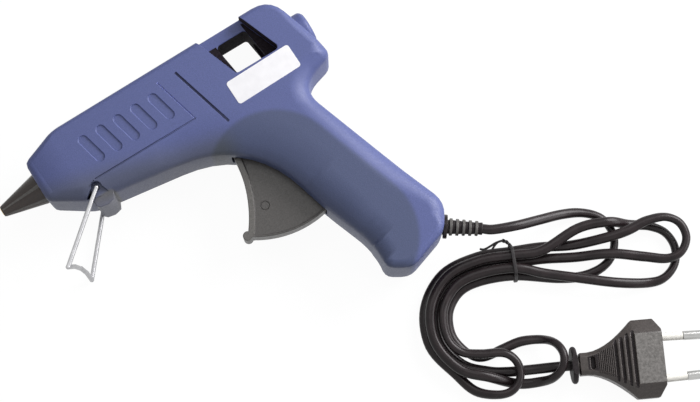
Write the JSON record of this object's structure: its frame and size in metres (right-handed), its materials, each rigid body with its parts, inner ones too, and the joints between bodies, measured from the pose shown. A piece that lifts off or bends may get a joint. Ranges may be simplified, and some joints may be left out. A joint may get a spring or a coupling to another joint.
{
  "type": "hot glue gun",
  "caption": "Pistol-shaped hot glue gun with a sprung trigger, sight window, fold-out wire stand and a tied mains cord with flat two-pin plug.",
  "frame": {"origin": "on the resting side, under the point where the barrel axis crosses the line of the trigger pivot", "axes": "+X back along the barrel, out of the stick inlet; +Y away from the grip; +Z through the thickness, up from the table"},
  "size_m": [0.2527, 0.2402, 0.034],
  "materials": {
    "blue_housing": "fine spark-eroded texture",
    "brass": "turned",
    "black_rubber": "satin",
    "aluminium": "cast",
    "ceramic": "fired ceramic",
    "steel": "bright",
    "insulation_board": "pressed board",
    "silicone": "matt",
    "natural_nylon": "moulded",
    "grey_trigger": "moulded satin",
    "plated_wire": "nickel plated",
    "brown_insulation": "smooth",
    "blue_insulation": "smooth",
    "cord_sheath": "smooth extruded",
    "plug_rubber": "moulded, fine grain",
    "pin_insulation": "smooth"
  },
  "bodies": {
    "housing": {"left_shell": "blue_housing", "right_shell": "blue_housing", "nozzle": "brass", "nozzle_cover": "black_rubber", "melt_chamber": "aluminium", "heater_element": "ceramic", "heater_electrodes": "brass", "heater_clip": "steel", "front_support": "insulation_board", "rear_support": "insulation_board", "inlet_sleeve": "silicone", "sleeve_clip": "steel", "trigger_pin": "steel", "return_spring": "steel", "inlet_collar": "blue_housing", "case_screws": "steel", "cord_clamp": "natural_nylon", "clamp_screws": "steel", "live_lead": "brown_insulation", "neutral_lead": "blue_insulation", "lead_crimps": "plated_wire", "strain_relief": "black_rubber", "cord_entry": "cord_sheath", "cord_lead": "cord_sheath", "cord_hank": "cord_sheath", "cord_tail": "cord_sheath", "cord_tie": "cord_sheath", "plug_body": "plug_rubber", "plug_pins": "plated_wire", "pin_sleeves": "pin_insulation"},
    "trigger": {"trigger": "grey_trigger"},
    "carriage": {"feed_carriage": "natural_nylon", "jaw_pin": "steel"},
    "jaw": {"grip_jaw": "steel"},
    "stand": {"wire_stand": "plated_wire"}
  },
  "joints": [
    {"name": "trigger_squeeze", "type": "hinge", "parent": "housing", "child": "trigger", "pos_m": [0, -0.0307, 0.017], "axis": [0, 0, 1], "range_deg": [0, 16], "stiffness_Nm_per_rad": 0.2, "springref_deg": -17.19, "deforming": ["return_spring"]},
    {"name": "carriage_feed", "type": "slide", "parent": "housing", "child": "carriage", "axis": [-1, 0, 0], "range_m": [0, 0.0098]},
    {"name": "jaw_bite", "type": "hinge", "parent": "carriage", "child": "jaw", "pos_m": [-0.0085, 0.0109, 0.017], "axis": [0, 0, -1], "range_deg": [0, 8.1]},
    {"name": "stand_fold", "type": "hinge", "parent": "housing", "child": "stand", "pos_m": [-0.0705, -0.0157, 0.017], "axis": [0, 0, 1], "range_deg": [0, 60]}
  ],
  "couplings": [
    {"joint": "carriage_feed", "follows": "trigger_squeeze", "m_per_rad": 0.03467},
    {"joint": "jaw_bite", "follows": "trigger_squeeze", "ratio": 0.5}
  ]
}
